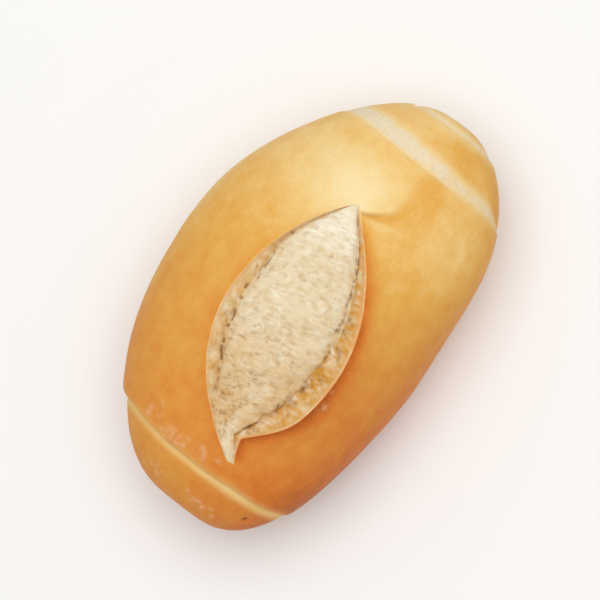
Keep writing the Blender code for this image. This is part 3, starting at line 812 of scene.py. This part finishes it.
tips = np.stack([surface[0].mean(axis=0), surface[-1].mean(axis=0)])
points = np.concatenate([surface.reshape(-1, 3), tips])
quads = grid_faces(ROWS, COLUMNS).reshape(-1, 4)
j = np.arange(COLUMNS)
k = (j + 1) % COLUMNS
last = (ROWS - 1) * COLUMNS
back_fan = np.stack([np.full(COLUMNS, ROWS * COLUMNS), j, k], axis=-1)
front_fan = np.stack([np.full(COLUMNS, ROWS * COLUMNS + 1), last + k, last + j], axis=-1)
roll = make_mesh("crusty_roll", points, [*quads.tolist(), *back_fan.tolist(), *front_fan.tolist()])
crust_values = {"browning_and_lighting": browning_and_lighting, "pale": pale, "blister": blister, "painted_shade": painted_shade}
crumb_values = {"strand_and_highlight": strand_and_highlight, "toast_and_shade": toast_and_shade, "rim": rim, "painted_shade": painted_shade}
for name, values in (crust_values | crumb_values).items():
    put_attribute(roll.data, name, values, "FLOAT", "value")
grain = np.stack([along_slash, across_slash, np.zeros_like(x)], axis=-1)
put_attribute(roll.data, "grain", grain, "FLOAT_VECTOR", "vector")
print(f"{len(quads) * 2 + 2 * COLUMNS} triangles")

# %% [markdown]
# ## Materials
# Colours are written as the sRGB hex values one reads off a screen, and one function turns them linear.
# One more function adds a node: settings are plain names, and an input is either a number or the output
# of another node. A colour Mix node has its factor at input 0, its two colours at inputs 6 and 7, and its
# result at output 2. The numbers that the mesh carries come in through Attribute nodes.

# %% Colour and node helpers
def hex_colour(code):
    """sRGB hex to linear RGBA: c / 12.92 up to 0.04045, and ((c + 0.055) / 1.055)^2.4 above."""
    srgb = np.array([int(code[i : i + 2], 16) for i in (1, 3, 5)]) / 255
    linear = np.where(srgb <= 0.04045, srgb / 12.92, ((srgb + 0.055) / 1.055) ** 2.4)
    return (*linear.tolist(), 1.0)


def add_node(tree, kind, inputs=None, **settings):
    """Adds one node, sets it, and fills its inputs with values or links."""
    node = tree.nodes.new("ShaderNode" + kind)
    for name, value in settings.items():
        setattr(node, name, value)
    for name, value in (inputs or {}).items():
        if isinstance(value, bpy.types.NodeSocket):
            tree.links.new(value, node.inputs[name])
        else:
            node.inputs[name].default_value = value
    return node


def new_material(name):
    """An empty node material, and add_node for its own tree."""
    material = bpy.data.materials.new(name)
    material.use_nodes = True
    material.node_tree.nodes.clear()
    return material, functools.partial(add_node, material.node_tree)


# %% [markdown]
# Crust is dough whose starch and sugars turned brown in a thin dry skin, polished by the oven's steam. It
# scatters light just below the surface and has a soft satin shine. Its colour runs along one scale from
# straw to amber to brown, so the attribute of browning with its painted highlights and painted shade picks
# a place on a ramp, and a fine noise moves that place a little. The pale dough between the layers is matt.
# Where the layers slid apart the furthest, it was torn bare: nearly white and rough, with small darker
# flecks. Where the mesh marks painted shade, in the pinhole, the crease, the tears and the pores, the colour
# turns deep brown.

# %% Baked crust
CRUST_SCALE = {
    0.0: "#f3dba6", 0.2: "#edc982", 0.4: "#e3ab52", 0.58: "#dc9440", 0.76: "#d3772e", 1.0: "#a8521c",
}
STRAW, TORN, FLECK = hex_colour("#f0d9a2"), hex_colour("#ebdcbd"), hex_colour("#d8cbb3")
BLISTER, HOLE_SHADE = hex_colour("#ecbd96"), hex_colour("#5e2a10")
# clouds from uneven heat, specks where the skin bubbled finely, and wrinkles where it dried
CLOUD, SPECK, WRINKLE = 5 * MM, 0.8 * MM, 2.2 * MM


def baked_crust():
    material, add = new_material("baked_crust")
    place_in_space = add("TexCoord").outputs["Object"]
    browning_and_lighting_at, pale_at, blister_at, shade_at = (
        add("Attribute", attribute_name=name).outputs["Fac"] for name in crust_values
    )
    clouds = add("TexNoise", {"Vector": place_in_space, "Scale": 1 / CLOUD, "Detail": 3.0})
    specks = add("TexNoise", {"Vector": place_in_space, "Scale": 1 / SPECK, "Detail": 2.0})
    mottle = add("Math", {0: clouds.outputs["Fac"], 1: 0.20, 2: -0.10}, operation="MULTIPLY_ADD")
    speckle = add("Math", {0: specks.outputs["Fac"], 1: 0.14, 2: -0.07}, operation="MULTIPLY_ADD")
    moved = add("Math", {0: mottle.outputs[0], 1: speckle.outputs[0]}, operation="ADD")
    # browning together with its painted highlights and painted shade, moved by the noise
    browned_and_lit = add("Math", {0: browning_and_lighting_at, 1: moved.outputs[0]}, operation="ADD", use_clamp=True)
    ramp = add("ValToRGB", {"Fac": browned_and_lit.outputs[0]})
    stops = ramp.color_ramp.elements
    for stop in list(CRUST_SCALE)[1:-1]:
        stops.new(stop)
    for element, code in zip(stops, CRUST_SCALE.values()):
        element.color = hex_colour(code)
    # dough that the crust never covered: straw at its edges, torn and nearly white in the middle
    bare = add("MapRange", {"Value": pale_at, "From Min": 0.55, "From Max": 0.85})
    dough = add("Mix", {0: bare.outputs["Result"], 6: STRAW, 7: TORN}, data_type="RGBA")
    fleck = add("MapRange", {"Value": specks.outputs["Fac"], "From Min": 0.48, "From Max": 0.80})
    flecked = add("Math", {0: fleck.outputs[0], 1: bare.outputs["Result"]}, operation="MULTIPLY")
    torn = add("Mix", {0: flecked.outputs[0], 6: dough.outputs[2], 7: FLECK}, data_type="RGBA")
    cream = add("Mix", {0: pale_at, 6: ramp.outputs[0], 7: torn.outputs[2]}, data_type="RGBA")
    bubble = add("Math", {0: blister_at, 1: 0.60}, operation="MULTIPLY")
    bubbled = add("Mix", {0: bubble.outputs[0], 6: cream.outputs[2], 7: BLISTER}, data_type="RGBA")
    # painted shade: deep brown in the pinhole, the crease, the tears and the pores
    shaded = add("Mix", {0: shade_at, 6: bubbled.outputs[2], 7: HOLE_SHADE}, data_type="RGBA")
    rough = add("MapRange", {"Value": pale_at, "To Min": 0.52, "To Max": 0.80})
    grit = add("MapRange", {"Value": pale_at, "To Min": 0.18, "To Max": 0.60})
    grit_bump = {"Height": specks.outputs["Fac"], "Strength": grit.outputs["Result"], "Distance": 0.15 * MM}
    skin_bump = add("Bump", grit_bump)
    wrinkles = add("TexNoise", {"Vector": place_in_space, "Scale": 1 / WRINKLE, "Detail": 4.0})
    wrinkle_bump = {"Height": wrinkles.outputs["Fac"], "Strength": 0.25, "Distance": 0.3 * MM}
    bump = add("Bump", {**wrinkle_bump, "Normal": skin_bump.outputs["Normal"]})
    finish = {"Base Color": shaded.outputs[2], "Roughness": rough.outputs[0], "Normal": bump.outputs[0]}
    satin = {"IOR": 1.45, "Specular IOR Level": 0.12}
    glow = {"Subsurface Weight": 0.12, "Subsurface Radius": (1.0, 0.45, 0.18), "Subsurface Scale": 1.5 * MM}
    shader = add("BsdfPrincipled", {**finish, **satin, **glow})
    add("OutputMaterial", {"Surface": shader.outputs["BSDF"]})
    return material


# %% [markdown]
# Crumb is a foam of thin gluten walls, cream-white and quite translucent, with no shine at all. The
# stretched web is too fine for the mesh alone, so a noise in the slash's own coordinates, squeezed along
# it, draws the finest fibres as bump, and paints their crests lighter as a painted highlight.

# %% Torn crumb
CRUMB, WARM_CRUMB, WEB_AND_HIGHLIGHT = hex_colour("#e5d5b1"), hex_colour("#d5b988"), hex_colour("#f4eeda")
TOASTED_AND_SHADE, CRUST_RIM, DEEP_SHADE = hex_colour("#d0963e"), hex_colour("#e1a15e"), hex_colour("#84541c")
FIBRE_GAP, FIBRE_RUN, WARM_PATCH = 0.45 * MM, 2.4 * MM, 2.6 * MM


def torn_crumb():
    material, add = new_material("torn_crumb")
    grain_at = add("Attribute", attribute_name="grain").outputs["Vector"]
    strand_and_highlight_at, toast_and_shade_at, rim_at, shade_at = (
        add("Attribute", attribute_name=name).outputs["Fac"] for name in crumb_values
    )
    drawn = add("Mapping", {"Vector": grain_at, "Scale": (1 / FIBRE_GAP, 1 / FIBRE_RUN, 1.0)})
    hair_look = {"Scale": 1.0, "Detail": 4.0, "Distortion": 0.8}
    hair = add("TexNoise", {"Vector": drawn.outputs[0], **hair_look})
    patches = add("TexNoise", {"Vector": grain_at, "Scale": 1 / WARM_PATCH, "Detail": 3.0})
    warmth = add("MapRange", {"Value": patches.outputs["Fac"], "From Min": 0.35, "From Max": 0.7})
    base = add("Mix", {0: warmth.outputs["Result"], 6: CRUMB, 7: WARM_CRUMB}, data_type="RGBA")
    hair_range = {"From Min": 0.35, "From Max": 0.70, "To Min": 0.40}
    # painted highlight: the crests of the bump's fibres are lighter
    light = add("MapRange", {"Value": hair.outputs["Fac"], **hair_range})
    web_and_highlight = add("Math", {0: strand_and_highlight_at, 1: light.outputs[0]}, operation="MULTIPLY", use_clamp=True)
    webbed_and_lit = add("Mix", {0: web_and_highlight.outputs[0], 6: base.outputs[2], 7: WEB_AND_HIGHLIGHT}, data_type="RGBA")
    # toasted colour, partly painted shade beside the crevices and low on the right
    toasted_and_shaded = add("Mix", {0: toast_and_shade_at, 6: webbed_and_lit.outputs[2], 7: TOASTED_AND_SHADE}, data_type="RGBA")
    rimmed = add("Mix", {0: rim_at, 6: toasted_and_shaded.outputs[2], 7: CRUST_RIM}, data_type="RGBA")
    # painted shade: deep brown in the tears, pores, slits and holes
    shaded = add("Mix", {0: shade_at, 6: rimmed.outputs[2], 7: DEEP_SHADE}, data_type="RGBA")
    bump = add("Bump", {"Height": hair.outputs["Fac"], "Strength": 0.4, "Distance": 0.2 * MM})
    finish = {"Base Color": shaded.outputs[2], "Normal": bump.outputs[0], "Roughness": 0.85, "IOR": 1.4}
    glow = {"Subsurface Weight": 0.3, "Subsurface Radius": (1.0, 0.7, 0.4), "Subsurface Scale": 0.7 * MM}
    shader = add("BsdfPrincipled", {**finish, **glow})
    add("OutputMaterial", {"Surface": shader.outputs["BSDF"]})
    return material


# %% Put the materials on
roll.data.materials.append(baked_crust())
roll.data.materials.append(torn_crumb())
face_column = np.concatenate([np.tile(column, ROWS - 1), np.full(2 * COLUMNS, -1)])
row_opening = (opening[1:, 0] + opening[:-1, 0]) / 2
face_opening = np.concatenate([np.repeat(row_opening, COLUMNS), np.zeros(2 * COLUMNS)])
is_crumb = (face_column >= FIRST_RIGHT) & (face_column < crumb_last + CUT_COLUMNS) & (face_opening > 0.05)
roll.data.polygons.foreach_set("material_index", is_crumb.astype(np.int32))
print(f"{is_crumb.sum()} faces of crumb")

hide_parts(NODE)
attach(roll, "root")

# %% [markdown]
# ## Studio
# A plain pale floor, a large soft light high above the roll, a little towards the top of the picture, and
# a bright even room all round. The camera looks down on the roll, a little from its right side, and is
# banked so that the roll climbs to the upper right of the picture.

# %% Floor
FLOOR_HALF = 2.0
floor_points = np.array([(-1, -1, 0), (1, -1, 0), (1, 1, 0), (-1, 1, 0)]) * FLOOR_HALF
floor = make_mesh("floor", floor_points, [(0, 1, 2, 3)])
floor_material = bpy.data.materials.new("pale_floor")
floor_material.use_nodes = True
floor_shader = floor_material.node_tree.nodes["Principled BSDF"]
floor_shader.inputs["Base Color"].default_value = hex_colour("#f6f5f3")
floor_shader.inputs["Roughness"].default_value = 0.9
floor.data.materials.append(floor_material)

# %% Camera
def stand(thing, x_axis, y_axis, z_axis, at):
    """Places a camera or a lamp by its three axes and its point. It looks along its own -Z."""
    pose = np.eye(4)
    pose[:3] = np.stack([x_axis, y_axis, z_axis, at], axis=1)
    thing.matrix_world = Matrix(pose.tolist())
    scene.collection.objects.link(thing)


ELEVATION, BANK = math.radians(80), math.radians(53.24)
DISTANCE, VIEW_WIDTH, SENSOR = 0.70, 0.166, 36.0
back = np.array([0.0, -math.cos(ELEVATION), math.sin(ELEVATION)])
long_axis = np.array([1.0, 0.0, 0.0])
side_axis = np.cross(back, long_axis)
right = math.cos(BANK) * long_axis - math.sin(BANK) * side_axis
up = math.sin(BANK) * long_axis + math.cos(BANK) * side_axis
AIM = np.array([0.0, 0.0, 0.47 * HEIGHT])
camera_data = bpy.data.cameras.new("camera")
camera_data.sensor_width = SENSOR
camera_data.lens = SENSOR * DISTANCE / VIEW_WIDTH
camera = bpy.data.objects.new("camera", camera_data)
stand(camera, right, up, back, AIM + DISTANCE * back)
scene.camera = camera

# %% Light
KEY_DISTANCE, KEY_SIZE, KEY_WATTS, ROOM_STRENGTH = 0.9, 0.9, 5.1, 0.545
key_data = bpy.data.lights.new("key", "AREA")
key_data.shape = "DISK"
key_data.size = KEY_SIZE
key_data.energy = KEY_WATTS
key = bpy.data.objects.new("key", key_data)
toward = 0.1 * right + 0.12 * up + 1.4 * np.array([0.0, 0.0, 1.0])
toward = toward / np.linalg.norm(toward)
key_x = np.cross([0.0, 1.0, 0.0], toward)
key_x = key_x / np.linalg.norm(key_x)
stand(key, key_x, np.cross(toward, key_x), toward, KEY_DISTANCE * toward)

world = bpy.data.worlds.new("room")
world.use_nodes = True
world.node_tree.nodes["Background"].inputs["Color"].default_value = hex_colour("#ffffff")
world.node_tree.nodes["Background"].inputs["Strength"].default_value = ROOM_STRENGTH
scene.world = world
scene.view_settings.view_transform = "Standard"
